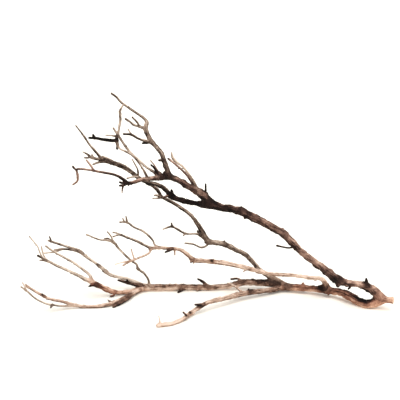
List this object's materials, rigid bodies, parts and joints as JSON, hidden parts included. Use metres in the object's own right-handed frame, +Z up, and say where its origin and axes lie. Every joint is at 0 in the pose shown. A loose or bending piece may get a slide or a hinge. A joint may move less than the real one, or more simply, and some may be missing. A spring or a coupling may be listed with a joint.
{
  "type": "fallen tree branch",
  "caption": "Dead leafless branch lying on the ground: a short sawn stem end that forks into an upper and a lower limb, ending in many bare crooked twigs and broken stubs.",
  "frame": {"origin": "on the ground, under the centre of the branch's bounding box", "axes": "+Z up, +X along the branch's length towards the sawn stem end, +Y away from the side that the front limb reaches to"},
  "size_m": [0.9467, 0.2974, 0.5616],
  "materials": {
    "dark_bark": "dark brown weathered bark with pinkish bare patches",
    "brown_bark": "thin reddish brown bark, worn to wood in streaks",
    "bare_wood": "bare pale wood, dry and matt, with bark left in dark flecks"
  },
  "bodies": {
    "root": {"butt": "brown_bark", "upper_limb": "dark_bark", "lower_limb": "brown_bark", "arch_limb": "bare_wood", "riser_limb": "dark_bark", "long_limb": "brown_bark", "front_limb": "bare_wood", "dark_limb": "dark_bark", "inner_limb": "dark_bark", "inner_high_twig": "brown_bark", "inner_low_twig": "brown_bark", "crown_limb": "dark_bark", "tall_branch": "brown_bark", "tall_low_twig": "dark_bark", "tall_high_twig": "brown_bark", "sweep_limb": "dark_bark", "pale_cross_twig": "bare_wood", "dark_cross_twig": "brown_bark", "black_twig": "dark_bark", "upright_twig": "bare_wood", "twin_dark_twig": "dark_bark", "twin_pale_twig": "bare_wood", "riser_top": "dark_bark", "riser_fork": "brown_bark", "riser_side_twig": "brown_bark", "riser_low_twig": "dark_bark", "arch_mid_twig": "bare_wood", "arch_low_twig": "bare_wood", "arch_high_twig": "bare_wood", "crest_limb": "brown_bark", "crest_side_twig": "brown_bark", "fan_limb": "brown_bark", "fan_high_twig": "bare_wood", "fan_low_twig": "bare_wood", "ground_limb": "bare_wood", "ground_side_twig": "bare_wood", "stray_twig": "bare_wood"}
  },
  "joints": []
}
